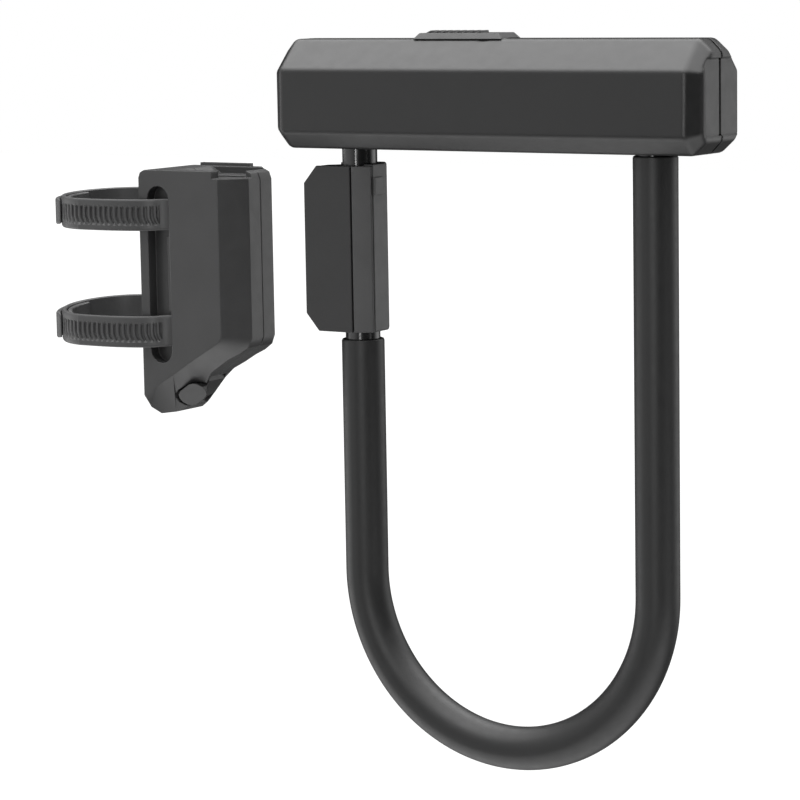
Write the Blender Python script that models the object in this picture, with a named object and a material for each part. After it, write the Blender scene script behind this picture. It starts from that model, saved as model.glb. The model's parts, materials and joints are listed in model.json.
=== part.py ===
"""U lock with its frame bracket, as separate solids in one frame.

Metres, +Z up, X along the crossbar, front is -Y. The origin is the middle of the crossbar's underside, and the
shackle hangs below it. Lengths below are in millimetres. The lock is shut and unlocked: both deadbolts are drawn
back from the notches in the shackle's feet.
"""
import math

import bmesh
import bpy
from mathutils import Matrix, Vector

MM = 0.001
GAP = 0.3

# Crossbar casing
BAR_LEFT, BAR_RIGHT, BAR_DEPTH, BAR_TOP = -90.2, 87.2, 17.3, 40.1
TOP_CHAMFER, BOTTOM_CHAMFER = 11.0, 6.3
END_CHAMFER, SLOPE_SHARE, REAR_SHARE = 4.8, 0.85, 0.67
BAR_ROUNDING, BAR_STEPS = 3.0, 3
SEAM_Y, SEAM_GAP = 1.5, 0.6
PANEL_DEPTH, PANEL_Y, PANEL_Z = 0.8, (-10.9, 20.0), (6.6, 33.2)
TUBE_Z, TUBE_RADIUS, TUBE_BORE, TUBE_HALF = 20.05, 14.5, 12.0, 78.0
CASING_SCREW_X, CASING_SCREW_Z = 82.6, (10.5, 25.5)

# Shackle
LEG_X, STEEL_RADIUS, COAT_RADIUS = 62.0, 6.5, 8.0
BEND_Z, FOOT_TOP = -158.0, 30.0
COAT_TOP_LEFT, COAT_TOP_RIGHT = -71.0, -0.6
NOTCH_LOW, NOTCH_HIGH, NOTCH_DEPTH = 10.4, 17.6, 4.8

# Lock cylinder, cam and deadbolts
KEY_X = -3.6
HOUSING_RADIUS, HOUSING_BORE, PLUG_RADIUS = 6.5, 4.3, 4.0
PIN_ORBIT, PIN_RADIUS = 3.54, 1.2
BOLT_LOW, BOLT_HIGH, BOLT_TIP = 11.0, 17.0, 55.0

# Keyway cover
COVER_LEFT, COVER_RIGHT, COVER_BASE, COVER_TOP = -33.3, 3.7, 40.4, 42.1
COVER_HALF_WIDTH, COVER_TRAVEL = 7.0, 14.4
RIB_COUNT, RIB_PITCH, RIB_FIRST, RIB_HEIGHT = 8, 2.65, -28.6, 0.9

# Carrier block, measured from the left leg's axis
BLOCK_LOW, BLOCK_HIGH, BLOCK_BORE = -68.0, -6.4, 6.8
WING_LEFT, WING_FRONT, WING_CORNER = -18.7, -10.0, 6.5

# Frame bracket
BODY_TOP, BODY_DEPTH = -9.2, 16.0
SOCKET_X, SOCKET_HALF, SOCKET_FLOOR = (-137.0, -113.0), 3.6, -72.0
POCKET_X, POCKET_Z, POCKET_FLOOR = (-149.4, -139.3), (-83.2, -15.2), 11.4
LOOP_X, LOOP_RADIUS, STRAP_THICK, STRAP_WIDTH = -176.4, 21.4, 2.0, 12.0
# Each strap: its middle height at the front, how far its loop is shifted along X, and its rise from front to rear.
STRAPS = {"upper": (-26.4, 0.7, 1.5), "lower": (-71.4, -0.7, 3.6)}
PIVOT_X, PIVOT_Z, TAB_BACK = -134.0, -82.5, -5.6
BRACKET_SCREWS = ((-143.8, -50.5, 10.9), (-146.0, -90.6, 13.6))


def put_origin(name, point):
    """Moves an object's origin onto its joint's axis, leaving its shape where it is."""
    item = bpy.data.objects[name]
    place_in_metres = Vector(point) * MM
    item.data.transform(Matrix.Translation(-place_in_metres))
    item.location = place_in_metres


def clear_scene():
    for item in list(bpy.data.objects):
        bpy.data.objects.remove(item, do_unlink=True)


def material(name, colour, roughness, metallic=0.0):
    made = bpy.data.materials.get(name) or bpy.data.materials.new(name)
    made.use_nodes = True
    shader = made.node_tree.nodes["Principled BSDF"]
    shader.inputs["Base Color"].default_value = (*colour, 1)
    shader.inputs["Roughness"].default_value = roughness
    shader.inputs["Metallic"].default_value = metallic
    return made


FINISHES = {
    "casing": ((0.075, 0.075, 0.078), 0.5, 0),
    "cover": ((0.08, 0.08, 0.083), 0.45, 0),
    "bracket": ((0.085, 0.085, 0.088), 0.5, 0),
    "strap": ((0.05, 0.05, 0.052), 0.6, 0),
    "rubber": ((0.04, 0.04, 0.042), 0.7, 0),
    "steel": ((0.05, 0.05, 0.055), 0.2, 1),
    "hard_steel": ((0.45, 0.45, 0.47), 0.35, 1),
    "brass": ((0.6, 0.45, 0.2), 0.35, 1),
    "screw": ((0.3, 0.3, 0.31), 0.35, 1),
}


def finish_object(name, mesh, finish, smooth=True):
    item = bpy.data.objects.new(name, mesh)
    bpy.context.scene.collection.objects.link(item)
    item.data.materials.append(material(name + "_mat", *FINISHES[finish]))
    if smooth:
        mesh.shade_smooth()
        mesh.set_sharp_from_angle(angle=math.radians(32))
    return item


def solid(name, shape, finish):
    """Turns a shape in millimetres into an object in metres."""
    bmesh.ops.remove_doubles(shape, verts=shape.verts, dist=0.001)
    bmesh.ops.scale(shape, vec=(MM, MM, MM), verts=shape.verts)
    bmesh.ops.recalc_face_normals(shape, faces=shape.faces)
    mesh = bpy.data.meshes.new(name)
    shape.to_mesh(mesh)
    shape.free()
    return finish_object(name, mesh, finish)


def combine(target, shape, operation):
    """Cuts a shape from an object, or joins it to the object."""
    count = len(target.modifiers)
    bmesh.ops.scale(shape, vec=(MM, MM, MM), verts=shape.verts)
    bmesh.ops.recalc_face_normals(shape, faces=shape.faces)
    mesh = bpy.data.meshes.new(f"tool_{target.name}_{count}")
    shape.to_mesh(mesh)
    shape.free()
    tool = bpy.data.objects.new(mesh.name, mesh)
    bpy.context.scene.collection.objects.link(tool)
    tool.hide_render = True
    tool.display_type = "WIRE"
    step = target.modifiers.new(f"{operation.lower()}_{count}", "BOOLEAN")
    step.operation, step.solver, step.object = operation, "EXACT", tool


def cut(target, shape):
    combine(target, shape, "DIFFERENCE")


def join(target, shape):
    combine(target, shape, "UNION")


def place(axis, along, first, second):
    """A point from its place along an axis and its two other coordinates, in X, Y, Z order."""
    return {"X": (along, first, second), "Y": (first, along, second), "Z": (first, second, along)}[axis]


def prism(outline, axis, low, high):
    """An outline drawn in the two other axes, pushed along this one."""
    shape = bmesh.new()
    rings = [[shape.verts.new(place(axis, level, *point)) for point in outline] for level in (low, high)]
    shape.faces.new(rings[0])
    shape.faces.new(rings[1])
    for index in range(len(outline)):
        after = (index + 1) % len(outline)
        shape.faces.new((rings[0][index], rings[0][after], rings[1][after], rings[1][index]))
    bmesh.ops.recalc_face_normals(shape, faces=shape.faces)
    return shape


def box(x, y, z):
    return prism([(x[0], y[0]), (x[1], y[0]), (x[1], y[1]), (x[0], y[1])], "Z", *z)


def arc(centre, radius, start, end, steps):
    """Points on an arc, with the angles in degrees."""
    angles = [math.radians(start + (end - start) * step / steps) for step in range(steps + 1)]
    return [(centre[0] + radius * math.cos(a), centre[1] + radius * math.sin(a)) for a in angles]


def soften(points, radius, steps, closed=True):
    """The outline with each corner replaced by an arc."""
    rounded = []
    for index, point in enumerate(points):
        if not closed and index in (0, len(points) - 1):
            rounded.append(tuple(point))
            continue
        corner = Vector(point)
        before = (Vector(points[index - 1]) - corner).normalized()
        after = (Vector(points[(index + 1) % len(points)]) - corner).normalized()
        half = before.angle(after) / 2
        centre = corner + (before + after).normalized() * (radius / math.sin(half))
        start = corner + before * (radius / math.tan(half)) - centre
        end = corner + after * (radius / math.tan(half)) - centre
        for step in range(steps + 1):
            share = step / steps
            rounded.append(tuple(centre + (start * (1 - share) + end * share).normalized() * radius))
    return rounded


def circle(centre, radius, sides):
    return arc(centre, radius, 0, 360, sides)[:-1]


def rod(centre, radius, axis, low, high, sides=24):
    return prism(circle(centre, radius, sides), axis, low, high)


def lathe(profile, centre, axis, sides=24):
    """A closed profile of (radius, place along the axis), turned round the axis."""
    shape = bmesh.new()
    rings = []
    for radius, along in profile:
        if radius < 1e-6:
            rings.append([shape.verts.new(place(axis, along, *centre))])
        else:
            ring = circle(centre, radius, sides)
            rings.append([shape.verts.new(place(axis, along, *point)) for point in ring])
    for first, second in zip(rings, rings[1:] + rings[:1]):
        for side in range(sides):
            after = (side + 1) % sides
            corners = [first[side % len(first)], first[after % len(first)]]
            corners += [second[after % len(second)], second[side % len(second)]]
            corners = list(dict.fromkeys(corners))
            if len(corners) > 2:
                shape.faces.new(corners)
    return shape


def ring(name, centre, outer, bore, axis, low, high, finish, sides=24, edge=0.5):
    profile = [(bore, low), (outer - edge, low), (outer, low + edge)]
    profile += [(outer, high - edge), (outer - edge, high), (bore, high)]
    return solid(name, lathe(profile, centre, axis, sides), finish)


def slice_off(shape, point, normal):
    """Removes everything beyond a plane and closes the cut."""
    parts = shape.verts[:] + shape.edges[:] + shape.faces[:]
    found = bmesh.ops.bisect_plane(
        shape, geom=parts, plane_co=point, plane_no=Vector(normal).normalized(), clear_outer=True
    )
    edges = [item for item in found["geom_cut"] if isinstance(item, bmesh.types.BMEdge)]
    if edges:
        bmesh.ops.edgenet_fill(shape, edges=edges)
        bmesh.ops.recalc_face_normals(shape, faces=shape.faces)


def round_edges(shape, width, segments=2, chosen=None, least_angle=20):
    edges = [
        edge for edge in shape.edges
        if edge.calc_face_angle(0) > math.radians(least_angle) and (chosen is None or chosen(edge))
    ]
    bmesh.ops.bevel(
        shape, geom=edges, offset=width, segments=segments, profile=0.5, affect="EDGES", clamp_overlap=True
    )


def sweep(name, path, radius, finish, bore=0.0, sides=20, tip=0.0):
    """A round bar, or a hose when bore is set, along a path in the XZ plane."""
    shape = bmesh.new()
    radii = [radius] * len(path)
    if tip:
        first = Vector(path[0]) + (Vector(path[1]) - Vector(path[0])).normalized() * tip
        last = Vector(path[-1]) + (Vector(path[-2]) - Vector(path[-1])).normalized() * tip
        path = [path[0], tuple(first)] + path[1:-1] + [tuple(last), path[-1]]
        radii = [radius - tip] + [radius] * (len(path) - 2) + [radius - tip]

    def skin(distances):
        rings = []
        for index, point in enumerate(path):
            before = Vector(path[max(index - 1, 0)])
            after = Vector(path[min(index + 1, len(path) - 1)])
            along = (after - before).normalized()
            across = Vector((-along[1], along[0]))
            loop = []
            for side in range(sides):
                angle = 2 * math.pi * side / sides
                flat = Vector(point) + across * math.cos(angle) * distances[index]
                loop.append(shape.verts.new((flat[0], math.sin(angle) * distances[index], flat[1])))
            rings.append(loop)
        for first, second in zip(rings, rings[1:]):
            for side in range(sides):
                after = (side + 1) % sides
                shape.faces.new((first[side], first[after], second[after], second[side]))
        return rings

    outer = skin(radii)
    if bore:
        inner = skin([bore] * len(path))
        for far, near in ((outer[0], inner[0]), (outer[-1], inner[-1])):
            for side in range(sides):
                after = (side + 1) % sides
                shape.faces.new((far[side], far[after], near[after], near[side]))
    else:
        shape.faces.new(outer[0])
        shape.faces.new(outer[-1])
    return solid(name, shape, finish)


def screw(name, centre, axis, tip, head, shank=1.3, head_radius=2.4, toward=1):
    """A screw with a hexagonal socket. tip and head are its ends, toward is the way its head faces."""
    under = head - 2.2 * toward
    profile = [(0, tip), (shank * 0.6, tip), (shank, tip + 0.8 * toward), (shank, under)]
    profile += [(head_radius, under), (head_radius, head - 0.4 * toward), (head_radius - 0.4, head)]
    profile += [(1.2, head), (1.2, head - 1.3 * toward), (0, head - 1.3 * toward)]
    shape = bmesh.new()
    rings = []
    for radius, along in profile:
        if radius < 1e-6:
            rings.append([shape.verts.new(place(axis, along, *centre))])
        else:
            rings.append([shape.verts.new(place(axis, along, *p)) for p in circle(centre, radius, 12)])
    for first, second in zip(rings, rings[1:]):
        for side in range(12):
            after = (side + 1) % 12
            corners = [first[side % len(first)], first[after % len(first)]]
            corners += [second[after % len(second)], second[side % len(second)]]
            shape.faces.new(list(dict.fromkeys(corners)))
    return solid(name, shape, "screw")


# ---------------------------------------------------------------- crossbar


def bar_section(inset):
    """The bar's eight-sided section, with each side moved in by the inset and the corners rounded."""
    half = math.sqrt(0.5)
    top_slope, low_slope = (BAR_DEPTH + BAR_TOP - TOP_CHAMFER) * half, (BAR_DEPTH - BOTTOM_CHAMFER) * half
    sides = [
        (-1, 0, BAR_DEPTH, 1), (-half, half, top_slope, SLOPE_SHARE), (0, 1, BAR_TOP, 1),
        (half, half, top_slope, SLOPE_SHARE * REAR_SHARE), (1, 0, BAR_DEPTH, REAR_SHARE),
        (half, -half, low_slope, SLOPE_SHARE * REAR_SHARE), (0, -1, 0, 1), (-half, -half, low_slope, SLOPE_SHARE),
    ]
    corners = []
    for index, (y1, z1, far1, share1) in enumerate(sides):
        y2, z2, far2, share2 = sides[(index + 1) % len(sides)]
        far1, far2 = far1 - share1 * inset, far2 - share2 * inset
        cross = y1 * z2 - z1 * y2
        corners.append(((far1 * z2 - far2 * z1) / cross, (y1 * far2 - y2 * far1) / cross))
    return soften(corners, BAR_ROUNDING - 0.25 * inset, BAR_STEPS)


def bar_shape():
    """The casing's outside: an eight-sided bar whose ends draw in with a soft chamfer."""
    drawn_in = [(END_CHAMFER * 3, 0), (END_CHAMFER, 0), (0, END_CHAMFER), (0, END_CHAMFER * 3)]
    profile = soften(drawn_in, BAR_ROUNDING, BAR_STEPS, closed=False)[1:-1]
    stations = [(BAR_LEFT + away, inset) for away, inset in reversed(profile)]
    stations += [(BAR_RIGHT - away, inset) for away, inset in profile]
    shape = bmesh.new()
    rings = [[shape.verts.new((x, *point)) for point in bar_section(inset)] for x, inset in stations]
    for first, second in zip(rings, rings[1:]):
        for index in range(len(first)):
            after = (index + 1) % len(first)
            shape.faces.new((first[index], first[after], second[after], second[index]))
    shape.faces.new(rings[0])
    shape.faces.new(rings[-1])
    bmesh.ops.recalc_face_normals(shape, faces=shape.faces)
    return shape


def casing_half(name, side):
    shape = bar_shape()
    slice_off(shape, (0, SEAM_Y + side * SEAM_GAP / 2, 0), (0, -side, 0))
    half = solid(name, shape, "casing")
    cut(half, rod((0, TUBE_Z), TUBE_RADIUS + GAP, "X", -TUBE_HALF - GAP, TUBE_HALF + GAP, 32))
    for leg in (-1, 1):
        cut(half, rod((leg * LEG_X, 0), 9.9, "Z", -2, 12))
    cut(half, rod((KEY_X, 0), HOUSING_RADIUS + GAP, "Z", 28, BAR_TOP + 2))
    slot = (COVER_LEFT + 1.6 - COVER_TRAVEL, COVER_LEFT + 16.7)
    cut(half, box(slot, (-2.3, 2.3), (37, BAR_TOP + 2)))
    cut(half, box(slot, (-4.3, 4.3), (35.7, 38.2)))
    for panel in ((BAR_LEFT - 1, BAR_LEFT + PANEL_DEPTH), (BAR_RIGHT - PANEL_DEPTH, BAR_RIGHT + 1)):
        cut(half, box(panel, PANEL_Y, PANEL_Z))
    for end in (-1, 1):
        for height in CASING_SCREW_Z:
            centre = (end * CASING_SCREW_X, height)
            if side < 0:
                cut(half, rod(centre, 1.6, "Y", -8.4, 8, 12))
            else:
                bore = [(0, -4), (1.6, -4), (1.6, 12.4), (2.7, 12.4), (2.7, 22), (0, 22)]
                cut(half, lathe(bore, centre, "Y", 12))
    return half


def crossbar():
    casing_half("crossbar_front_shell", -1)
    casing_half("crossbar_rear_shell", 1)
    tube = ring("crossbar_tube", (0, TUBE_Z), TUBE_RADIUS, TUBE_BORE, "X", -TUBE_HALF, TUBE_HALF,
                "hard_steel", 32)
    for leg in (-1, 1):
        cut(tube, rod((leg * LEG_X, 0), STEEL_RADIUS + 0.4, "Z", 0, 14))
    cut(tube, rod((KEY_X, 0), HOUSING_RADIUS + GAP, "Z", 26, 40))
    for label, side in (("left", -1), ("right", 1)):
        ends = sorted((side * 72.0, side * 77.4))
        solid(f"tube_plug_{label}", rod((0, TUBE_Z), TUBE_BORE - GAP, "X", *ends), "hard_steel")
        ring(f"foot_seal_{label}", (side * LEG_X, 0), 9.6, STEEL_RADIUS + 0.35, "Z", 0.3, 4.9, "rubber")
        ends = sorted((side * 28.0, side * 36.0))
        guide = solid(f"bolt_guide_{label}", rod((0, TUBE_Z), TUBE_BORE - GAP, "X", *ends), "hard_steel")
        cut(guide, box((ends[0] - 2, ends[1] + 2), (-5.3, 5.3), (BOLT_LOW - GAP, BOLT_HIGH + GAP)))
        for index, height in enumerate(CASING_SCREW_Z):
            place_name = f"casing_screw_{label}_{'lower' if index == 0 else 'upper'}"
            screw(place_name, (side * CASING_SCREW_X, height), "Y", -8.0, 15.0)


def lock_cylinder():
    centre = (KEY_X, 0)
    ring("lock_housing", centre, HOUSING_RADIUS, HOUSING_BORE, "Z", 21.3, 38.9, "brass")
    plug = solid("lock_plug", rod(centre, PLUG_RADIUS, "Z", 21.3, 38.5), "brass")
    join(plug, prism(circle(centre, 2.2, 4), "Z", 18.0, 22.0))
    cut(plug, box((KEY_X - 0.8, KEY_X + 0.8), (-2.9, 2.9), (26, 42)))
    cam = solid("lock_cam", rod(centre, 6.2, "Z", 17.9, 20.9), "hard_steel")
    cut(cam, prism(circle(centre, 2.65, 4), "Z", 16, 22))
    offset = PIN_ORBIT * math.sqrt(0.5)
    for side in (-1, 1):
        join(cam, rod((KEY_X + side * offset, -side * offset), PIN_RADIUS, "Z", 11.8, 18.6, 16))


def deadbolt(label, side):
    """A bar to the foot's notch, with a slotted arm that the cam's pin drives."""

    def span(start, end):
        return sorted((KEY_X + side * start, KEY_X + side * end))

    tip = side * BOLT_TIP
    shape = box(sorted((KEY_X + side * 14.0, tip)), (-5, 5), (BOLT_LOW, BOLT_HIGH))
    round_edges(shape, 0.8, 1, lambda edge: all(abs(v.co.x - tip) < 0.1 for v in edge.verts))
    bolt = solid(f"deadbolt_{label}", shape, "hard_steel")
    join(bolt, box(span(-6.2, 15.0), sorted((side * 0.6, side * 4.99)), (12.0, 16.99)))
    join(bolt, box(span(-6.2, 18.0), sorted((side * 4.0, side * 7.2)), (12.0, 16.98)))
    offset = PIN_ORBIT * math.sqrt(0.5)
    cut(bolt, box(span(-offset - 1.65, -offset + 1.65), sorted((-side * 1.0, side * 5.5)), (8, 20)))


def keyway_cover():
    outline = [(COVER_LEFT, COVER_BASE), (COVER_LEFT + 1.7, COVER_TOP)]
    for rib in range(RIB_COUNT):
        start = RIB_FIRST + rib * RIB_PITCH
        outline += [(start, COVER_TOP + 0.02), (start + RIB_PITCH * 0.62, COVER_TOP + RIB_HEIGHT)]
        outline += [(start + RIB_PITCH * 0.72, COVER_TOP + RIB_HEIGHT)]
    outline += [(RIB_FIRST + RIB_COUNT * RIB_PITCH, COVER_TOP), (COVER_RIGHT - 2.4, COVER_TOP)]
    outline += [(COVER_RIGHT, COVER_BASE)]
    shape = prism(outline, "Y", -COVER_HALF_WIDTH, COVER_HALF_WIDTH)
    for side in (-1, 1):
        slice_off(shape, (0, side * COVER_HALF_WIDTH, COVER_BASE + 0.1), (0, side, 1))
    cover = solid("keyway_cover", shape, "cover")
    key = (COVER_LEFT + 2.0, COVER_LEFT + 16.0)
    join(cover, box(key, (-1.9, 1.9), (37.0, 41.2)))
    join(cover, box(key, (-3.9, 3.9), (36.1, 37.8)))


# ---------------------------------------------------------------- shackle


def shackle_path(left_top, right_top):
    bend = arc((0, BEND_Z), LEG_X, 180, 360, 22)
    return [(-LEG_X, left_top)] + bend + [(LEG_X, right_top)]


def shackle():
    core = sweep("shackle_bar", shackle_path(FOOT_TOP, FOOT_TOP), STEEL_RADIUS, "steel", tip=1.5)
    for side in (-1, 1):
        reach = sorted((side * 50.0, side * (LEG_X - STEEL_RADIUS + NOTCH_DEPTH)))
        cut(core, box(reach, (-9, 9), (NOTCH_LOW, NOTCH_HIGH)))
    sweep("shackle_coating", shackle_path(COAT_TOP_LEFT, COAT_TOP_RIGHT), COAT_RADIUS, "rubber",
          bore=STEEL_RADIUS + GAP)


def from_leg(points):
    return [(x - LEG_X, y) for x, y in points]


def carrier_block():
    """The wing plate and the two clamp halves round the bare steel of the left leg."""
    corner, left, right = WING_CORNER, WING_LEFT - LEG_X, 1.9 - LEG_X
    face = [(left, BLOCK_LOW + corner), (left + corner * 0.85, BLOCK_LOW), (right, BLOCK_LOW), (right, BLOCK_HIGH)]
    face += [(left + corner * 0.85, BLOCK_HIGH), (left, BLOCK_HIGH - corner)]
    shape = prism(face, "Y", WING_FRONT, WING_FRONT + 1.6)
    round_edges(shape, 0.4, 2)
    solid("block_wing", shape, "casing")

    bore = BLOCK_BORE
    front = [(-17.0, -8.1), (2.4, -8.1), (2.4, -9.8), (8.7, -5.9), (8.7, -5.2)]
    start, end = math.degrees(math.asin(-5.2 / bore)), -180 + math.degrees(math.asin(0.2 / bore))
    front += arc((0, 0), bore, start, end, 10) + [(-8.4, -0.2)]
    shape = prism(from_leg(front), "Z", BLOCK_LOW, BLOCK_HIGH)
    for level, up in ((BLOCK_LOW, -1), (BLOCK_HIGH, 1)):
        slice_off(shape, (left + 0.8, 0, level - up * corner), (-1, 0, 0.85 * up))
    round_edges(shape, 0.4, 2, lambda edge: min(v.co.y for v in edge.verts) < -5.3
                and all((v.co.x + LEG_X) ** 2 + v.co.y ** 2 > 60 for v in edge.verts), 30)
    solid("block_front_half", shape, "casing")

    rear = [(9.0, -4.9), (9.0, 4.2), (6.2, 8.6), (-4.5, 8.6), (-8.6, 4.5), (-8.6, 0.2)]
    start, end = 180 - math.degrees(math.asin(0.2 / bore)), math.degrees(math.asin(-4.9 / bore))
    rear += arc((0, 0), bore, start, end, 14)
    shape = prism(from_leg(rear), "Z", BLOCK_LOW, BLOCK_HIGH + 0.7)
    round_edges(shape, 0.9, 2, lambda edge: max((v.co.x + LEG_X) ** 2 + v.co.y ** 2 for v in edge.verts) > 60
                and max(v.co.x for v in edge.verts) > 8.9 - LEG_X and edge.calc_length() < 12, 30)
    solid("block_rear_half", shape, "casing")

    clip = [(9.3, -5.4), (10.0, -5.2), (10.0, 1.6), (9.3, 2.0)]
    shape = prism(from_leg(clip), "Z", -17.2, -10.6)
    round_edges(shape, 0.25, 2)
    solid("block_clip", shape, "casing")


# ---------------------------------------------------------------- frame bracket


def stadium(x, z):
    radius = (x[1] - x[0]) / 2
    middle = (x[0] + x[1]) / 2
    return arc((middle, z[1] - radius), radius, 0, 180, 8) + arc((middle, z[0] + radius), radius, 180, 360, 8)


# The bracket's side view from the top right corner, clockwise: X, Z and half depth at its rim, then X and Z on its side.
BODY_RIM = (
    (-111.0, -9.2, 7.5, -118.2, -9.2), (-108.6, -10.3, 7.5, -116.8, -10.3), (-107.6, -13.0, 7.5, -116.2, -13.0),
    (-107.6, -72.8, 7.5, -116.2, -71.5), (-109.3, -76.4, 8.0, -117.0, -73.6),
    (-113.2, -79.0, 8.8, -118.6, -75.0), (-117.8, -81.2, 9.0, -120.6, -76.2), (-122.6, -84.2, 8.6, -123.4, -77.8),
    (-127.4, -87.0, 7.4, -126.6, -79.7), (-130.4, -90.4, 6.0, -129.8, -81.6), (-132.6, -93.6, 5.0, -132.4, -83.2),
    (-135.0, -97.0, 4.6, -135.4, -85.2), (-138.8, -100.4, 5.4, -139.2, -87.6), (-143.8, -103.0, 8.6, -143.8, -90.2),
    (-148.0, -103.4, 12.4, -147.8, -92.8), (-151.2, -100.8, 14.6, -151.0, -95.0), (-153.4, -96.8, 15.2, -153.4, -96.2),
    (-153.4, -12.2, 15.2, -153.4, -12.2), (-152.6, -10.2, 15.2, -152.6, -10.2), (-150.6, -9.2, 15.2, -150.6, -9.2),
)


def body_shape(side):
    """One half of the bracket: a flat rim round a flat side, joined by a wide slope."""
    shape = bmesh.new()
    rings = [
        [shape.verts.new((x, side * 0.2, z)) for x, z, depth, side_x, side_z in BODY_RIM],
        [shape.verts.new((x, side * depth, z)) for x, z, depth, side_x, side_z in BODY_RIM],
        [shape.verts.new((side_x, side * BODY_DEPTH, side_z)) for x, z, depth, side_x, side_z in BODY_RIM],
    ]
    for first, second in zip(rings, rings[1:]):
        for index in range(len(BODY_RIM)):
            after = (index + 1) % len(BODY_RIM)
            shape.faces.new((first[index], first[after], second[after], second[index]))
    shape.faces.new(rings[0])
    shape.faces.new(rings[-1])
    bmesh.ops.recalc_face_normals(shape, faces=shape.faces)
    round_edges(shape, 1.2, 2, lambda edge: all(abs(v.co.y) > 0.4 for v in edge.verts), 26)
    return shape


def tab_outline(spread, reach=0.0):
    """The release tab's rounded slanting outline, in X and Z, grown by spread and stretched to the left by reach."""
    left, right = (-137.6 - reach, -97.1), (-133.4, -94.3)
    tilt = math.degrees(math.atan2(right[1] - left[1], right[0] - left[0]))
    return arc(right, 3.3 + spread, tilt - 90, tilt + 90, 6) + arc(left, 3.3 + spread, tilt + 90, tilt + 270, 6)


def bracket_half(name, side):
    half = solid(name, body_shape(side), "bracket")
    cut(half, box(SOCKET_X, (-SOCKET_HALF, SOCKET_HALF), (SOCKET_FLOOR, 5)))
    dish = [(-141.0, -8.0), (-134.0, -12.0), (-110.6, -12.0), (-110.6, 2), (-141.0, 2)]
    cut(half, prism(dish, "Y", -11.6, 11.6))
    if side < 0:
        cut(half, box((-118.6, -106.0), (-20, -5), (-11.99, 2)))
    else:
        join(half, box((-144.6, -121.0), (12.2, 14.4), (-11.0, BODY_TOP + 1.3)))
    cut(half, prism(stadium(POCKET_X, POCKET_Z), "Y", *sorted((side * POCKET_FLOOR, side * 20))))
    cut(half, rod((LOOP_X, 0), 25.6, "Z", -112, 0, 64))
    cut(half, box((-139.3, -128.9), (-5.2, 5.2), (-112, -67.6)))
    cut(half, prism(tab_outline(0.4, 1.0), "Y", -20, TAB_BACK + 0.4))
    cut(half, rod((PIVOT_X, PIVOT_Z), 1.8, "Y", -8.4, 8.4, 16))
    for x, z, seat in BRACKET_SCREWS:
        if side < 0:
            cut(half, rod((x, z), 1.6, "Y", -8.4, 6, 12))
        else:
            bore = [(0, -4), (1.6, -4), (1.6, seat - 2.5), (2.7, seat - 2.5), (2.7, 22), (0, 22)]
            cut(half, lathe(bore, (x, z), "Y", 12))


def strap_path(shift):
    """The strap's middle line, from the front pocket round the tube to the rear pocket."""
    front = [(-140.6, -13.3), (-143.4, -14.5), (-147.6, -17.5), (-153.0, -19.4), (-161.0, -20.8), (-168.5, -21.3)]
    round_tube = arc((LOOP_X + shift, 0), LOOP_RADIUS, 266, 94, 22)
    return front + round_tube + [(x, -y) for x, y in reversed(front)]


def band(path, thickness):
    """The outline of a strip that follows a path."""
    near, far = [], []
    for index, point in enumerate(path):
        before, after = Vector(path[max(index - 1, 0)]), Vector(path[min(index + 1, len(path) - 1)])
        along = (after - before).normalized()
        across = Vector((-along[1], along[0])) * thickness / 2
        near.append(tuple(Vector(point) + across))
        far.append(tuple(Vector(point) - across))
    return near, far


def strip(name, path, thickness, low, high, finish, rise=0.0):
    """A strip's solid, made of one ring of four corners for each point of its path. It rises towards the rear."""
    shape = bmesh.new()
    near, far = band(path, thickness)
    rings = []
    for a, b, middle in zip(near, far, path):
        lift = rise * (0.5 + 0.5 * middle[1] / LOOP_RADIUS)
        corners = ((*a, low + lift), (*b, low + lift), (*b, high + lift), (*a, high + lift))
        rings.append([shape.verts.new(corner) for corner in corners])
    for first, second in zip(rings, rings[1:]):
        for corner in range(4):
            after = (corner + 1) % 4
            shape.faces.new((first[corner], first[after], second[after], second[corner]))
    shape.faces.new(rings[0])
    shape.faces.new(rings[-1])
    bmesh.ops.recalc_face_normals(shape, faces=shape.faces)
    return solid(name, shape, finish)


def straps():
    for label, (middle, shift, rise) in STRAPS.items():
        low, high = middle - STRAP_WIDTH / 2, middle + STRAP_WIDTH / 2
        strip(f"strap_{label}", strap_path(shift), STRAP_THICK, low, high, "strap", rise)
        tail = arc((LOOP_X + shift, 0), LOOP_RADIUS + STRAP_THICK + GAP, 172, 236, 9)
        strip(f"strap_tail_{label}", tail, STRAP_THICK, low + 0.8, high - 1.0, "strap", rise)
    pad = arc((LOOP_X, 0), 25.3, -22, 22, 8) + arc((LOOP_X, 0), 23.5, 22, -22, 8)
    solid("saddle_pad", prism(pad, "Z", -88.0, -12.0), "rubber")


def release_lever():
    arm = [(-137.6, -98.0), (-137.6, -78.0), (-135.9, -75.2), (-135.9, -70.4), (-134.9, -69.4), (-131.9, -69.4)]
    arm += [(-129.9, -71.6), (-131.9, -73.8), (-131.9, -76.2), (-130.4, -78.2), (-130.4, -90.8), (-132.6, -93.8)]
    arm += [(-135.2, -96.6)]
    shape = prism(tab_outline(0), "Y", -15.0, TAB_BACK)
    slice_off(shape, (-137.0, -16.4, -86.0), (0.433, -1, -0.705))
    slice_off(shape, (-130.2, -7.0, 0), (0.86, 0.51, 0))
    round_edges(shape, 0.7, 2, None, 40)
    lever = solid("release_lever", shape, "cover")
    join(lever, prism(arm, "Y", -4.8, 4.8))
    join(lever, box((-137.5, -135.3), (-7.0, -4.0), (-96.4, -93.9)))
    cut(lever, rod((PIVOT_X, PIVOT_Z), 1.8, "Y", -6, 6, 16))
    solid("lever_pin", rod((PIVOT_X, PIVOT_Z), 1.5, "Y", -8.0, 8.0, 16), "hard_steel")


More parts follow.
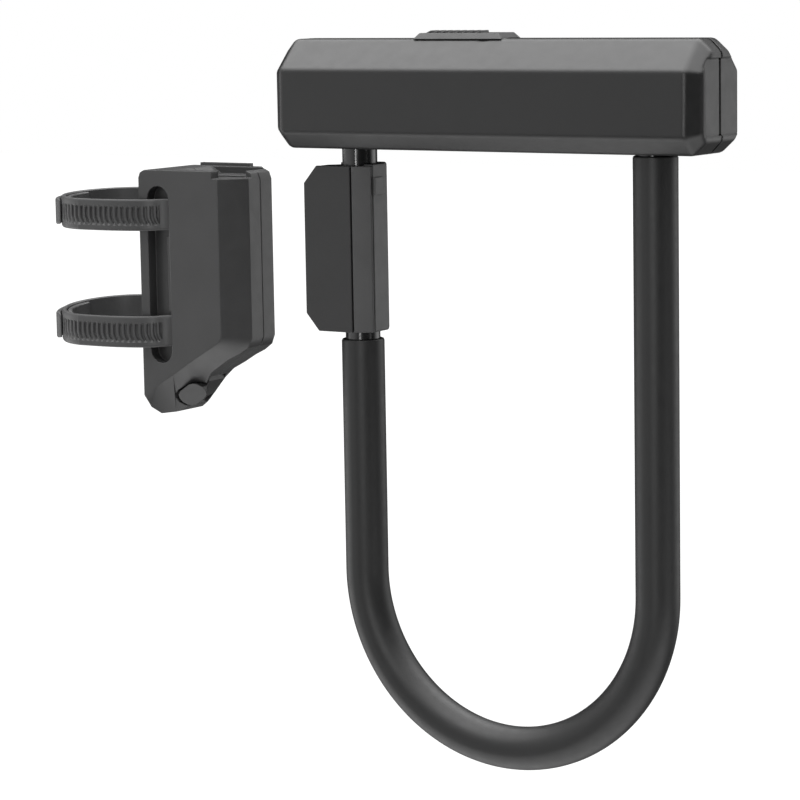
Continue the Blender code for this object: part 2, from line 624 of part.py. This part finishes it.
def bracket():
    bracket_half("bracket_front_shell", -1)
    bracket_half("bracket_rear_shell", 1)
    for label, (x, z, seat) in zip(("upper", "lower"), BRACKET_SCREWS):
        screw(f"bracket_screw_{label}", (x, z), "Y", -8.0, seat)
    straps()
    release_lever()


clear_scene()
crossbar()
lock_cylinder()
deadbolt("right", 1)
deadbolt("left", -1)
keyway_cover()
shackle()
carrier_block()
bracket()
for moving, axis_point in (
    ("keyway_cover", (COVER_LEFT, 0, COVER_BASE)),
    ("lock_plug", (KEY_X, 0, 30)),
    ("lock_cam", (KEY_X, 0, 19)),
    ("deadbolt_left", (KEY_X, 0, (BOLT_LOW + BOLT_HIGH) / 2)),
    ("deadbolt_right", (KEY_X, 0, (BOLT_LOW + BOLT_HIGH) / 2)),
    ("release_lever", (PIVOT_X, 0, PIVOT_Z)),
):
    put_origin(moving, axis_point)
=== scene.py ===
import json
import math

import bmesh
import bpy
from mathutils import Matrix, Vector

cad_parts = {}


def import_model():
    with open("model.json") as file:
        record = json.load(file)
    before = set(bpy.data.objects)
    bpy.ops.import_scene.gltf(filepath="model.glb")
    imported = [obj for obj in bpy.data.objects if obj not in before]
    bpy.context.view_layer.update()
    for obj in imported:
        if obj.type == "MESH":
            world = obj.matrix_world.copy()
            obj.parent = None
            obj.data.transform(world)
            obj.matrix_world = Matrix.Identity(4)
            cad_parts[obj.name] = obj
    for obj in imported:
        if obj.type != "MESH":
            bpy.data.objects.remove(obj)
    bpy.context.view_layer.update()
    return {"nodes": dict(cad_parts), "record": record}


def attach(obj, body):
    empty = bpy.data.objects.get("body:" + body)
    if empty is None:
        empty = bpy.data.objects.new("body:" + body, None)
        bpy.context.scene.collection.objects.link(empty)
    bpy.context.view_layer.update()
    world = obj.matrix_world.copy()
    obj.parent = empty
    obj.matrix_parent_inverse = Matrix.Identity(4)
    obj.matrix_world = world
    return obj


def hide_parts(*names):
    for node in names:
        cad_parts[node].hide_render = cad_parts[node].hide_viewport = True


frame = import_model()
MM = 0.001

# Camera, as the point it looks at in millimetres, then distance in metres, heading, height and tilt in degrees
AIM = Vector((-46.07, 0.0, -93.45)) * MM
DISTANCE, HEADING, PITCH, ROLL = 1.1592, 33.09, 7.97, -0.98
LENS, SENSOR, CLIP = 140.4, 36, (0.05, 20)

# Studio light: the ceiling, the walls in front and behind, and the floor's glow near the object and far from it
CEILING, FRONT, REAR = 3.4, 0.88, 1.35
FLOOR_NEAR, FLOOR_FAR = 1.7, 1.1
FLOOR_SIZE, FLOOR_Z, FLOOR_TONE = 6.0, -0.46, (0.045, 0.055)
# The two ways in which the walls are dark: by the camera, and behind the object
SHADED_WAY, BEHIND = (0.82, -0.57, 0.0), (-0.545, 0.838, 0.0)
DARK_WALLS = ((SHADED_WAY, 0.05, 0.6), (BEHIND, 0.50, 0.82))
STRIP_PLACE, STRIP_TARGET = (0.30, -1.06, 0.10), (-0.06, 0, -0.02)
STRIP_WIDTH, STRIP_HEIGHT, STRIP_POWER = 0.09, 0.9, 3.6

# From here on, sizes are in millimetres. The shackle's coating
LEG_X, COAT_RADIUS, COAT_BORE, BEND_Z = 62.0, 8.0, 6.8, -158.0
COAT_TOP_LEFT, COAT_TOP_RIGHT = -71.0, -0.6
COAT_SIDES, MOULD_LINE = 56, 0.07

# The straps' loops: a centre, a mean radius, and each one's height, shift in X and rise to the rear
LOOP_X, LOOP_RADIUS, STRAP_THICK, STRAP_WIDTH = -176.4, 21.36, 2.0, 12.0
STRAPS = {"upper": (-26.4, 0.7, 1.5), "lower": (-71.4, -0.7, 3.6)}
# Where a strap runs from its slot in the bracket out to the loop, at the front
STRAP_LEAD = (
    (-140.6, -13.3), (-143.4, -14.5), (-147.6, -17.5), (-153.0, -19.4), (-161.0, -20.8), (-168.5, -21.3),
)
STRAP_STEP, STRAP_ROWS = 0.25, 26
TAIL_GAP, TAIL_TAPER, TONGUE_GAP, TONGUE_TAPER = 0.3, 4.5, 0.15, 5.0
TAPER_THIN, TAPER_NARROW = 0.25, 0.88

# The teeth along a strap, and the channel they stand in as shares of the strap's half width
TOOTH_PITCH, TOOTH_DEPTH, TOOTH_FOOT, TOOTH_SIDE = 2.35, 0.85, 0.30, 0.4
CHANNEL_HALF, CHANNEL_SHIFT, CHANNEL_SIDE = 0.64, 0.04, 0.10
BOW_LOW, BOW_LOW_START, BOW_LOW_POWER, BOW_HIGH = 3.0, 0.05, 1.6, 0.25
NO_TEETH = (2, 3)

# The keyway cover's plate, ribs and key
COVER_LEFT, COVER_RIGHT = -33.3, 3.7
RIB_COUNT, RIB_LEFT, RIB_PITCH = 8, -30.4, 3.0
KEY_SPAN = (-31.3, -17.3)

# The casing's two ends, the softened corner as distances in from the end and the top, and the end panel's lips
BAR_ENDS, BAR_TOP = {"left": (-1, -90.2), "right": (1, 87.2)}, 40.1
END_CORNER = ((8.0, 0), (6.0, 0), (4.7, 0.35), (3.6, 1.2), (1.2, 3.6), (0.35, 4.7), (0, 6.0))
PANEL_DEPTH, PANEL_UPPER_LIP, PANEL_LOWER_LIP = 0.8, (33.3, 33.1), (6.7, 6.5)
# Painted shade in the casing's seam, a near-black strip: how proud and deep it sits, where it stops inside the
# end, and its outer and inner spans in Y
SHADE_STRIP_PROUD, SHADE_STRIP_DEPTH, SHADE_STRIP_INSIDE_END = 0.03, 1.6, 0.004
SHADE_STRIP_OUTER_Y, SHADE_STRIP_INNER_Y = (1.05, 1.95), (1.22, 1.78)


# ---------------------------------------------------------------- materials


class Nodes:
    """Adds nodes to a material's tree, with values or links for their inputs."""

    def __init__(self, tree):
        self.tree = tree
        tree.nodes.clear()

    def add(self, kind, inputs=None, **settings):
        node = self.tree.nodes.new("ShaderNode" + kind)
        for key, value in settings.items():
            setattr(node, key, value)
        for key, value in (inputs or {}).items():
            if isinstance(value, bpy.types.NodeSocket):
                self.tree.links.new(value, node.inputs[key])
            else:
                node.inputs[key].default_value = value
        return node

    def math(self, operation, first, second, third=0.5):
        return self.add("Math", {0: first, 1: second, 2: third}, operation=operation).outputs[0]

    def noise(self, position, scale, detail=3.0, roughness=0.5):
        inputs = {"Vector": position, "Scale": scale, "Detail": detail, "Roughness": roughness}
        return self.add("TexNoise", inputs).outputs[0]

    def spread(self, noise, low, high):
        """A noise's usual range, mapped onto low to high."""
        return self.add("MapRange", {"Value": noise, 1: 0.3, 2: 0.7, 3: low, 4: high}).outputs[0]

    def ease(self, value, low, high, to_low, to_high):
        """A soft step from to_low to to_high, as the value goes from low to high."""
        inputs = {"Value": value, 1: low, 2: high, 3: to_low, 4: to_high}
        return self.add("MapRange", inputs, interpolation_type="SMOOTHSTEP").outputs[0]

    def rounded(self, radius):
        """The normal, as if edges were rounded off."""
        return self.add("Bevel", {"Radius": radius}, samples=6).outputs[0]

    def edges(self, radius, contrast=6.0):
        """1 along outside and inside edges, 0 on flat faces."""
        true = self.add("NewGeometry").outputs["Normal"]
        inputs = {0: self.rounded(radius), 1: true}
        along = self.add("VectorMath", inputs, operation="DOT_PRODUCT").outputs["Value"]
        bent = self.math("SUBTRACT", 1.0, along)
        return self.add("Clamp", {0: self.math("MULTIPLY", bent, contrast)}).outputs[0]


def surface(name, colour, roughness, grain, depth, edge, metallic=0.0, wear=0.25, variation=0.08,
            rough_span=0.035, specular=0.5, coat=0.0, stretch=(1, 1, 1)):
    """A finish with fine grain, uneven gloss and colour, and edges that are rubbed smoother and lighter."""
    made = bpy.data.materials.new(name)
    made.use_nodes = True
    nodes = Nodes(made.node_tree)
    place = nodes.add("TexCoord").outputs["Object"]
    place = nodes.add("VectorMath", {0: place, 1: stretch}, operation="MULTIPLY").outputs[0]
    fine = nodes.noise(place, 1.0 / grain, 4.0, 0.6)
    broad = nodes.noise(place, 55.0, 3.0)
    smear = nodes.noise(place, 260.0, 2.0)
    mask = nodes.edges(edge)
    shade = nodes.math("ADD", nodes.spread(broad, 1 - variation, 1 + variation),
                       nodes.spread(fine, -variation * 0.6, variation * 0.6))
    shade = nodes.math("MULTIPLY", shade, nodes.math("MULTIPLY_ADD", mask, wear, 1.0))
    tint = nodes.add("VectorMath", {0: colour, "Scale": shade}, operation="SCALE").outputs[0]
    gloss = nodes.math("ADD", nodes.spread(smear, roughness - rough_span, roughness + rough_span),
                       nodes.math("MULTIPLY", mask, -0.5 * rough_span))
    inputs = {"Strength": 1.0, "Distance": depth, "Height": fine, "Normal": nodes.rounded(edge)}
    bump = nodes.add("Bump", inputs).outputs[0]
    shader = nodes.add("BsdfPrincipled", {
        "Base Color": tint, "Roughness": gloss, "Metallic": metallic, "Normal": bump,
        "Specular IOR Level": specular, "Coat Weight": coat, "Coat Roughness": 0.18,
    })
    nodes.add("OutputMaterial", {"Surface": shader.outputs[0]})
    return made


# Each finish has a colour, a roughness, its grain's size and depth, and its edges' radius, in metres
FINISH = {
    "casing": surface("casing_plastic", (0.0085, 0.0085, 0.0087), 0.36, 0.00028, 0.00003, 0.0014, wear=0.1),
    "trim": surface("trim_plastic", (0.022, 0.022, 0.0223), 0.40, 0.00028, 0.00003, 0.0003),
    # The wing and the block are one plastic in two copies: darker on the wing for painted shade, lighter on the
    # block for painted light
    "wing": surface("wing_plastic_painted_shade", (0.013, 0.013, 0.0133), 0.38, 0.00035, 0.00005, 0.0003, wear=0.6),
    "block": surface("block_plastic_painted_light", (0.038, 0.038, 0.0385), 0.40, 0.00035, 0.00006, 0.0004, wear=0.6),
    "bracket": surface("bracket_plastic", (0.032, 0.032, 0.0324), 0.38, 0.00030, 0.00004, 0.0006),
    "strap": surface("strap_plastic", (0.040, 0.040, 0.0405), 0.44, 0.00030, 0.00002, 0.0002),
    "rubber": surface("coating_rubber", (0.0055, 0.0055, 0.0057), 0.46, 0.00022, 0.00003, 0.0004, wear=0.1),
    # A near-black matte finish for the strip in the seam: painted shade
    "painted_shade": surface("seam_painted_shade", (0.0012, 0.0012, 0.0012), 0.95, 0.00030, 0.00003, 0.0001, wear=0.0,
                    specular=0.03),
    "black_steel": surface("black_steel", (0.005, 0.005, 0.0054), 0.22, 0.00050, 0.000002, 0.0003,
                           rough_span=0.03, coat=0.4),
    "hard_steel": surface("hard_steel", (0.42, 0.42, 0.43), 0.30, 0.00040, 0.000004, 0.0005, metallic=1.0,
                          stretch=(1, 1, 12)),
    "brass": surface("lock_brass", (0.62, 0.45, 0.19), 0.28, 0.00040, 0.000004, 0.0005, metallic=1.0),
    "screw": surface("screw_steel", (0.32, 0.32, 0.33), 0.32, 0.00040, 0.000004, 0.0005, metallic=1.0),
}


def smoothing(limit):
    """Joins touching faces, then shades them smooth up to the limit in degrees between them."""
    group = bpy.data.node_groups.new("smooth_shading", "GeometryNodeTree")
    for direction in ("INPUT", "OUTPUT"):
        group.interface.new_socket("Geometry", in_out=direction, socket_type="NodeSocketGeometry")
    entry, leave = group.nodes.new("NodeGroupInput"), group.nodes.new("NodeGroupOutput")
    joined = group.nodes.new("GeometryNodeMergeByDistance")
    joined.inputs["Distance"].default_value = 0.00001
    faces = group.nodes.new("GeometryNodeSetShadeSmooth")
    edges = group.nodes.new("GeometryNodeSetShadeSmooth")
    edges.domain = "EDGE"
    edges.inputs["Shade Smooth"].default_value = False
    angle = group.nodes.new("GeometryNodeInputMeshEdgeAngle")
    compare = group.nodes.new("FunctionNodeCompare")
    compare.operation = "GREATER_THAN"
    compare.inputs["B"].default_value = math.radians(limit)
    for source, target in (
        (entry.outputs[0], joined.inputs["Geometry"]), (joined.outputs[0], faces.inputs["Geometry"]),
        (faces.outputs[0], edges.inputs["Geometry"]), (angle.outputs["Unsigned Angle"], compare.inputs["A"]),
        (compare.outputs[0], edges.inputs["Selection"]), (edges.outputs[0], leave.inputs[0]),
    ):
        group.links.new(source, target)
    return group


SMOOTHING = smoothing(27)


def dress(item, finish):
    """Gives an object its finish, with smooth shading that stays flat on flat faces."""
    item.data.materials.clear()
    item.data.materials.append(FINISH[finish])
    item.modifiers.new("smoothing", "NODES").node_group = SMOOTHING
    normals = item.modifiers.new("normals", "WEIGHTED_NORMAL")
    normals.keep_sharp = True
    normals.weight = 90


SLOT_OF = {row["node"]: row["material_slot"] for row in frame["record"]["subparts"]}
# The block's parts share one plastic, given as a darker copy on the wing and a lighter copy on the halves and
# clip: painted shade and painted light
LIT_AND_SHADED_FINISH = {
    "block_wing": "wing", "block_front_half": "block", "block_rear_half": "block", "block_clip": "block",
}
for node_name, node in frame["nodes"].items():
    dress(node, LIT_AND_SHADED_FINISH.get(node_name, SLOT_OF[node_name]))


# ---------------------------------------------------------------- shape helpers


def arc(centre, radius, start, end, steps):
    angles = [math.radians(start + (end - start) * step / steps) for step in range(steps + 1)]
    return [Vector((centre[0] + radius * math.cos(a), centre[1] + radius * math.sin(a))) for a in angles]


def smooth_line(points, spacing):
    """Evenly spaced points on a smooth curve through the given ones."""
    dense = []
    for index in range(len(points) - 1):
        p0, p1 = points[max(index - 1, 0)], points[index]
        p2, p3 = points[index + 1], points[min(index + 2, len(points) - 1)]
        for step in range(12):
            t = step / 12
            dense.append(0.5 * (2 * p1 + (p2 - p0) * t + (2 * p0 - 5 * p1 + 4 * p2 - p3) * t * t
                                + (3 * p1 - p0 - 3 * p2 + p3) * t * t * t))
    dense.append(points[-1])
    total = sum((b - a).length for a, b in zip(dense, dense[1:]))
    count = max(2, round(total / spacing))
    line, walked, index = [dense[0].copy()], 0.0, 0
    for step in range(1, count):
        goal = total * step / count
        while walked + (dense[index + 1] - dense[index]).length < goal:
            walked += (dense[index + 1] - dense[index]).length
            index += 1
        span = dense[index + 1] - dense[index]
        line.append(dense[index] + span * ((goal - walked) / span.length))
    line.append(dense[-1].copy())
    return line


def direction(line, index):
    """The way a line of points runs at one of them."""
    return (line[min(index + 1, len(line) - 1)] - line[max(index - 1, 0)]).normalized()


def add_piece(name, shape, slot, body):
    """Makes a bmesh into an object with its finish, which moves with a body."""
    mesh = bpy.data.meshes.new(name)
    shape.to_mesh(mesh)
    shape.free()
    item = bpy.data.objects.new(name, mesh)
    bpy.context.scene.collection.objects.link(item)
    dress(item, slot)
    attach(item, body)
    return item


def build(name, rings, slot, body, replaced=(), tube=False):
    """A closed mesh through rings of points in millimetres. A tube's last ring joins its first."""
    shape = bmesh.new()
    made = [[shape.verts.new(Vector(point) * MM) for point in ring] for ring in rings]
    for first, second in zip(made, made[1:]):
        for index in range(len(first)):
            after = (index + 1) % len(first)
            shape.faces.new((first[index], first[after], second[after], second[index]))
    if tube:
        for index in range(len(made[0])):
            after = (index + 1) % len(made[0])
            shape.faces.new((made[-1][index], made[-1][after], made[0][after], made[0][index]))
    else:
        shape.faces.new(made[0])
        shape.faces.new(made[-1])
    bmesh.ops.recalc_face_normals(shape, faces=shape.faces)
    item = add_piece(name, shape, slot, body)
    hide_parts(*replaced)
    return item


def plate(name, x, y, z, radius, slot, body, steps):
    """A small box with its edges rounded off, in millimetres."""
    shape = bmesh.new()
    bmesh.ops.create_cube(shape, size=1.0)
    for vert in shape.verts:
        spans = zip(vert.co, (x, y, z))
        vert.co = Vector([low + (high - low) * (part + 0.5) for part, (low, high) in spans])
    bmesh.ops.bevel(shape, geom=shape.edges[:], offset=radius, segments=steps, profile=0.5, affect="EDGES",
                    clamp_overlap=True)
    bmesh.ops.scale(shape, vec=(MM, MM, MM), verts=shape.verts)
    add_piece(name, shape, slot, body)


# ---------------------------------------------------------------- shackle coating


def coating():
    """The rubber hose: a smooth round bend, soft lips at its ends and faint mould lines front and back."""
    bend = arc((0, BEND_Z), LEG_X, 180, 360, 96)
    left = [Vector((-LEG_X, COAT_TOP_LEFT + (BEND_Z - COAT_TOP_LEFT) * step / 12)) for step in range(12)]
    right = [Vector((LEG_X, BEND_Z + (COAT_TOP_RIGHT - BEND_Z) * step / 16)) for step in range(1, 17)]
    path = left + bend + right

    def ring(index, radius, shift=0.0):
        along = direction(path, index)
        across = Vector((-along[1], along[0]))
        point = path[index] + along * shift
        found = []
        for side in range(COAT_SIDES):
            angle = 2 * math.pi * side / COAT_SIDES
            on_line = side in (COAT_SIDES // 4, 3 * COAT_SIDES // 4) and radius == COAT_RADIUS
            reach = radius - (MOULD_LINE if on_line else 0.0)
            flat = point + across * math.cos(angle) * reach
            found.append((flat[0], math.sin(angle) * reach, flat[1]))
        return found

    last = len(path) - 1
    rings = [ring(0, COAT_BORE)]
    rings += [ring(0, COAT_RADIUS - less, shift) for less, shift in ((0.7, 0.0), (0.25, 0.2), (0, 0.8))]
    rings += [ring(index, COAT_RADIUS) for index in range(1, last)]
    rings += [ring(last, COAT_RADIUS - less, -shift) for less, shift in ((0, 0.8), (0.25, 0.2), (0.7, 0.0))]
    rings += [ring(index, COAT_BORE) for index in range(last, 0, -1)]
    build("coating_hose", rings, "rubber", "shackle", ["shackle_coating"], tube=True)


# ---------------------------------------------------------------- straps


def tooth_height(along, across):
    """How far the band's outer face lies below its rims: a shallow channel with curved teeth standing in it."""
    inside = min(1.0, max(0.0, (CHANNEL_HALF - abs(across + CHANNEL_SHIFT)) / CHANNEL_SIDE))
    bow = BOW_LOW * max(0.0, -across - BOW_LOW_START) ** BOW_LOW_POWER + BOW_HIGH * max(0.0, across) ** 2
    phase = ((along + bow) / TOOTH_PITCH) % 1.0
    ridge = 0.5 - 0.5 * math.cos(2 * math.pi * phase)
    ridge = min(1.0, max(0.0, (ridge - TOOTH_FOOT) / TOOTH_SIDE))
    return -TOOTH_DEPTH * inside * (1.0 - ridge)


def band(name, line, low, high, rise, replaced=(), toothed=NO_TEETH, taper=0.0):
    """A strap's band along a line in the XY plane, with its rims, its channel and its teeth.

    toothed is the stretch that has teeth, as shares of the length. With a taper, the far end thins down to the
    inside over that length."""
    count = len(line)
    step_length = (line[1] - line[0]).length
    rings = []
    length = 0.0
    for index, point in enumerate(line):
        if index:
            length += (line[index] - line[index - 1]).length
        share = index / (count - 1)
        along = direction(line, index)
        outward = Vector((along[1], -along[0]))
        if outward.dot(point - Vector((LOOP_X, 0))) < 0:
            outward = -outward
        lift = rise * (0.5 + 0.5 * point[1] / LOOP_RADIUS)
        full = 1.0
        if taper:
            left = (1 - share) * (count - 1) * step_length
            full = math.sin(math.pi / 2 * min(1.0, left / taper))
        thin = TAPER_THIN + (1 - TAPER_THIN) * full
        narrow = TAPER_NARROW + (1 - TAPER_NARROW) * full
        middle, half = (low + high) / 2 + lift, (high - low) / 2 * narrow
        inner, outer = -STRAP_THICK / 2, STRAP_THICK * (thin - 0.5)
        edge = min(0.35, 0.45 * (outer - inner))
        ring = []
        for row in range(STRAP_ROWS + 1):
            across = -1 + 2 * row / STRAP_ROWS
            depth = outer
            if toothed[0] <= share <= toothed[1]:
                depth += tooth_height(length, across)
            if row in (0, STRAP_ROWS):
                depth -= edge * 0.5
            ring.append((*(point + outward * depth), middle + across * (half - edge * 0.6)))
        corner = ((outer - edge, half), (inner + edge, half), (inner, half - edge))
        ring += [(*(point + outward * depth), middle + away) for depth, away in corner]
        ring += [(*(point + outward * depth), middle - away) for depth, away in reversed(corner)]
        rings.append(ring)
    build(name, rings, "strap", "bracket", replaced)


def straps():
    front = [Vector(point) for point in STRAP_LEAD]
    rear = [Vector((x, -y)) for x, y in reversed(STRAP_LEAD)]
    for label, (middle, shift, rise) in STRAPS.items():
        low, high = middle - STRAP_WIDTH / 2, middle + STRAP_WIDTH / 2
        centre = (LOOP_X + shift, 0)
        line = smooth_line(front + arc(centre, LOOP_RADIUS, 266, 94, 40) + rear, STRAP_STEP)
        band(f"strap_band_{label}", line, low, high, rise, [f"strap_{label}"], (0.03, 0.74))
        tail = smooth_line(arc(centre, LOOP_RADIUS + STRAP_THICK + TAIL_GAP, 172, 226, 24), STRAP_STEP)
        band(f"strap_end_{label}", tail, low + 0.8, high - 1.0, rise, [f"strap_tail_{label}"], (0.0, 0.7),
             TAIL_TAPER)
        tongue = smooth_line(arc(centre, LOOP_RADIUS - STRAP_THICK - TONGUE_GAP, 168, 232, 24), 2 * STRAP_STEP)
        band(f"strap_tongue_{label}", tongue, low + 0.6, high - 0.6, rise, taper=TONGUE_TAPER)


# ---------------------------------------------------------------- cover, painted shade in the seam, and bracket details


def grip_cover():
    """The sliding cover: a plate with sloping sides, ribs for the finger, and a key that runs in the slot.

    The plate's lower edge follows the casing's rounded top."""

    def ring(inset, side, inner, corner, end):
        left, right = COVER_LEFT + inset, COVER_RIGHT - inset
        return [(left, -side, corner), (right, -side, corner), (right, -inner, end), (right, inner, end),
                (right, side, corner), (left, side, corner), (left, inner, end), (left, -inner, end)]

    rings = [ring(0.5, 5.0, 4.6, 40.3, 40.3), ring(0, 6.95, 5.5, 39.88, 40.2), ring(0.1, 7, 5.6, 40.05, 40.35),
             ring(1.9, 5.5, 4.1, 42.1, 42.1)]
    build("cover_plate", rings, "trim", "cover", ["keyway_cover"])
    for rib in range(RIB_COUNT):
        x = RIB_LEFT + rib * RIB_PITCH
        outline = [(x, 41.9), (x, 42.15), (x + 1.9, 42.98), (x + 2.3, 42.98), (x + 2.5, 41.9)]
        stations = ((-2.8, 0.3), (-2.5, 0), (2.5, 0), (2.8, 0.3))
        rings = [[(x, y, z - drop) for x, z in outline] for y, drop in stations]
        build(f"cover_rib_{rib}", rings, "trim", "cover")
    plate("cover_key", KEY_SPAN, (-1.9, 1.9), (36.2, 40.5), 0.1, "trim", "cover", 2)
    plate("cover_key_foot", KEY_SPAN, (-3.9, 3.9), (36.1, 37.8), 0.2, "trim", "cover", 2)


def seam_shade_strips():
    """A near-black strip in the casing's seam at each end, painted shade for the shadow in the gap, which
    follows the end panel's lips.
    """
    for label, (side, end) in BAR_ENDS.items():
        panel = end - side * PANEL_DEPTH
        path = [(end - side * away, BAR_TOP - down) for away, down in END_CORNER]
        path += [(end, PANEL_UPPER_LIP[0]), (panel, PANEL_UPPER_LIP[1])]
        path += [(panel, PANEL_LOWER_LIP[0]), (end, PANEL_LOWER_LIP[1])]
        path += [(end - side * away, up) for away, up in reversed(END_CORNER)]
        middle = Vector((end - side * 15, BAR_TOP / 2))
        rings = []
        for point in path:
            out = (Vector(point) - middle).normalized()
            near, far = Vector(point) + out * SHADE_STRIP_PROUD, Vector(point) - out * SHADE_STRIP_DEPTH
            near[0] = side * min(side * near[0], side * end - SHADE_STRIP_INSIDE_END)
            ring = [(near[0], y, near[1]) for y in SHADE_STRIP_OUTER_Y]
            rings.append(ring + [(far[0], y, far[1]) for y in reversed(SHADE_STRIP_INNER_Y)])
        shade_strip = build(f"seam_shade_strip_{label}", rings, "rubber", "crossbar")
        # The strip's near-black matte finish is painted shade in the seam.
        shade_strip.data.materials[0] = FINISH["painted_shade"]


def pocket_ribs():
    """A rib on each side of the bracket, in the pocket that the straps leave from."""
    for label, y in (("front", (-14.6, -11.5)), ("rear", (11.5, 14.6))):
        plate(f"pocket_rib_{label}", (-141.6, -139.5), y, (-63.5, -34.5), 0.5, "bracket", "bracket", 4)


coating()
straps()
grip_cover()
seam_shade_strips()
pocket_ribs()


# ---------------------------------------------------------------- stage, light and camera


def wall_light(nodes, way):
    """How bright the studio's walls are in a direction: white to the sides, dark by the camera and behind."""
    depth = nodes.add("SeparateXYZ", {0: way}).outputs[1]
    light = nodes.ease(depth, -0.6, 0.3, FRONT, REAR)
    for dark, low, high in DARK_WALLS:
        towards = nodes.add("VectorMath", {0: way, 1: dark}, operation="DOT_PRODUCT").outputs["Value"]
        light = nodes.math("MULTIPLY", light, nodes.ease(towards, low, high, 1.0, 0.0))
    return light


def white_to_camera(nodes, light):
    """The light given off, which the camera itself sees as plain white."""
    seen = nodes.add("LightPath").outputs["Is Camera Ray"]
    return nodes.add("Mix", {0: seen, 2: light, 3: 1.0}).outputs[0]


def floor():
    """A floor that gives off light near the object and far away, and is plain white to the camera."""
    mesh = bpy.data.meshes.new("floor")
    corners = [(x * FLOOR_SIZE, y * FLOOR_SIZE, FLOOR_Z) for x, y in ((-1, -1), (1, -1), (1, 1), (-1, 1))]
    mesh.from_pydata(corners, [], [(0, 1, 2, 3)])
    item = bpy.data.objects.new("floor", mesh)
    bpy.context.scene.collection.objects.link(item)
    made = bpy.data.materials.new("pale_floor")
    made.use_nodes = True
    nodes = Nodes(made.node_tree)
    place = nodes.add("TexCoord").outputs["Object"]
    flat = nodes.add("VectorMath", {0: place, 1: (1, 1, 0)}, operation="MULTIPLY").outputs[0]
    depth = nodes.add("SeparateXYZ", {0: flat}).outputs[1]
    distance = nodes.add("VectorMath", {0: flat}, operation="LENGTH").outputs["Value"]
    near = nodes.math("MULTIPLY", nodes.ease(depth, 0.02, 0.24, FLOOR_NEAR, 0.0),
                      nodes.ease(depth, -0.50, -0.20, 0.0, 1.0))
    way = nodes.add("VectorMath", {0: flat}, operation="NORMALIZE").outputs[0]
    far = nodes.math("MULTIPLY", nodes.ease(distance, 0.7, 1.6, 0.0, FLOOR_FAR), wall_light(nodes, way))
    tone = nodes.spread(nodes.noise(place, 3.0), *FLOOR_TONE)
    colour = nodes.add("CombineXYZ", {0: tone, 1: tone, 2: tone}).outputs[0]
    shader = nodes.add("BsdfPrincipled", {
        "Base Color": colour, "Roughness": 0.9, "Specular IOR Level": 0.1, "Emission Color": (1, 1, 1, 1),
        "Emission Strength": white_to_camera(nodes, nodes.math("ADD", near, far)),
    })
    nodes.add("OutputMaterial", {"Surface": shader.outputs[0]})
    mesh.materials.append(made)


def world():
    """A white studio: a bright ceiling, white walls to the sides, and dark by the camera and behind."""
    made = bpy.data.worlds.new("studio")
    made.use_nodes = True
    bpy.context.scene.world = made
    nodes = Nodes(made.node_tree)
    way = nodes.add("TexCoord").outputs["Generated"]
    height = nodes.add("SeparateXYZ", {0: way}).outputs[2]
    power = nodes.math("ADD", wall_light(nodes, way), nodes.ease(height, 0.55, 0.8, 0.0, CEILING))
    shade = nodes.add("Background", {"Color": (1, 1, 1, 1), "Strength": white_to_camera(nodes, power)})
    nodes.add("OutputWorld", {"Surface": shade.outputs[0]})


def strip_light():
    """A tall narrow light in front, which draws the bright line down the bare steel."""
    data = bpy.data.lights.new("strip_by_camera", "AREA")
    data.shape, data.size, data.size_y, data.energy = "RECTANGLE", STRIP_WIDTH, STRIP_HEIGHT, STRIP_POWER
    item = bpy.data.objects.new("strip_by_camera", data)
    bpy.context.scene.collection.objects.link(item)
    item.location = STRIP_PLACE
    item.rotation_euler = (Vector(STRIP_TARGET) - Vector(STRIP_PLACE)).to_track_quat("-Z", "Y").to_euler()
    item.visible_camera = False


def camera():
    heading, pitch, roll = (math.radians(angle) for angle in (HEADING, PITCH, ROLL))
    back = Vector((math.sin(heading) * math.cos(pitch), -math.cos(heading) * math.cos(pitch), math.sin(pitch)))
    side = Vector((math.cos(heading), math.sin(heading), 0))
    above = back.cross(side)
    right = math.cos(roll) * side + math.sin(roll) * above
    top = math.cos(roll) * above - math.sin(roll) * side
    data = bpy.data.cameras.new("camera")
    data.sensor_width, data.lens, (data.clip_start, data.clip_end) = SENSOR, LENS, CLIP
    item = bpy.data.objects.new("camera", data)
    bpy.context.scene.collection.objects.link(item)
    turned = Matrix((right, top, back)).transposed().to_4x4()
    item.matrix_world = Matrix.Translation(AIM + back * DISTANCE) @ turned
    bpy.context.scene.camera = item


bpy.context.scene.view_settings.view_transform = "Standard"
floor()
world()
camera()
strip_light()
